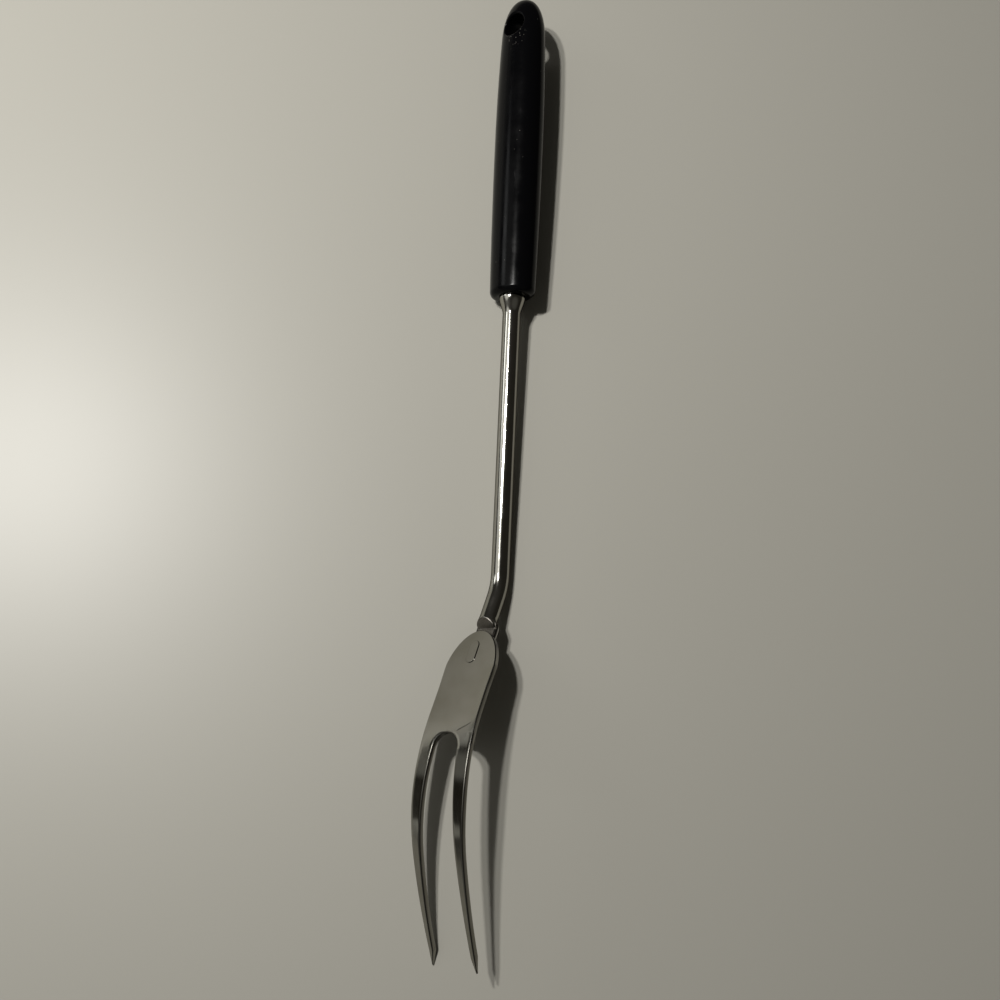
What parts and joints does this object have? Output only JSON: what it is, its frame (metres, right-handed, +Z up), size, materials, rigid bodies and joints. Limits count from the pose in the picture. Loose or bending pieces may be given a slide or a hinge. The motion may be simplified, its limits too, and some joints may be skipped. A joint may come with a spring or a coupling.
{
  "type": "carving fork",
  "caption": "Carving fork with a flat, bowed, tined steel head welded to a bent round tube shank, and an oval moulded handle with a hang hole.",
  "frame": {"origin": "centre of the hang hole, halfway through the handle", "axes": "+Y towards the handle's end, +Z up from the table that the fork lies on, +X to its right seen from above; the fork leans over to its left, as it rests"},
  "size_m": [0.0327, 0.3264, 0.0243],
  "materials": {
    "handle_plastic": "smooth black moulded plastic, glossy with fine wear",
    "shank_steel": "bright plated tube, pressed end more matt",
    "head_steel": "polished stainless sheet with fine scratches and bright edges",
    "plug_steel": "plain turned steel, out of sight",
    "weld_steel": "fused steel, out of sight"
  },
  "bodies": {
    "root": {"handle": "handle_plastic", "shank_tube": "shank_steel", "tang_plug": "plug_steel", "fork_head": "head_steel", "weld_nugget": "weld_steel"}
  },
  "joints": []
}
